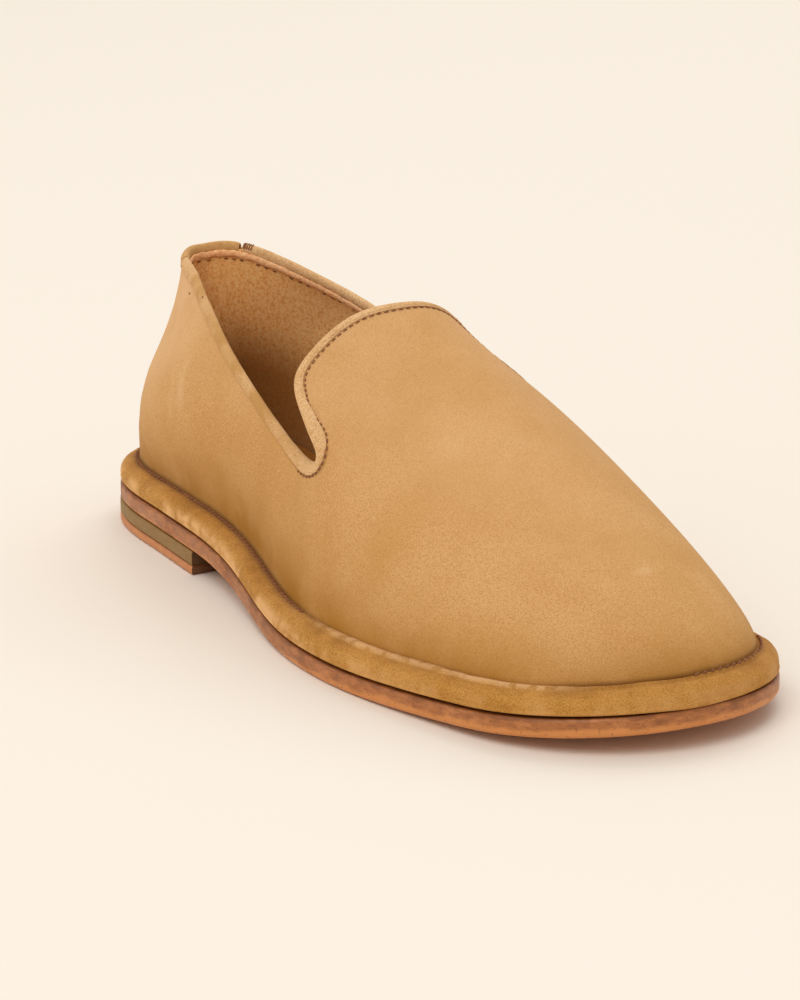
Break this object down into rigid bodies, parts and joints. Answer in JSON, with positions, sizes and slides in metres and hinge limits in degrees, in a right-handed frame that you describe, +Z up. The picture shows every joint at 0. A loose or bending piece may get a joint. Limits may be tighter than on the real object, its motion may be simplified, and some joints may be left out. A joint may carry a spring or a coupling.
{
  "type": "loafer",
  "caption": "Suede slip-on loafer for the right foot: seamless-fronted upper with bound topline and heel tab, wrapped midsole, leather outsole and low stacked heel.",
  "frame": {"origin": "middle of the shoe's length and width, on the floor under its sole", "axes": "+X towards the toe, +Y towards the medial side, +Z up"},
  "size_m": [0.298, 0.112, 0.0937],
  "materials": {
    "heel_top_lift": "waxed edge, worn",
    "heel_block": "stacked leather, matte",
    "outsole": "waxed edge, slight gloss",
    "covered_midsole": "suede wrap",
    "insole": "smooth, satin",
    "upper": "suede, brushed nap",
    "topline_binding": "suede strip",
    "heel_tab": "suede strip"
  },
  "bodies": {
    "root": {"heel_top_lift": "heel_top_lift", "heel_block": "heel_block", "outsole": "outsole", "covered_midsole": "covered_midsole", "insole": "insole", "upper": "upper", "topline_binding": "topline_binding", "heel_tab": "heel_tab"}
  },
  "joints": []
}
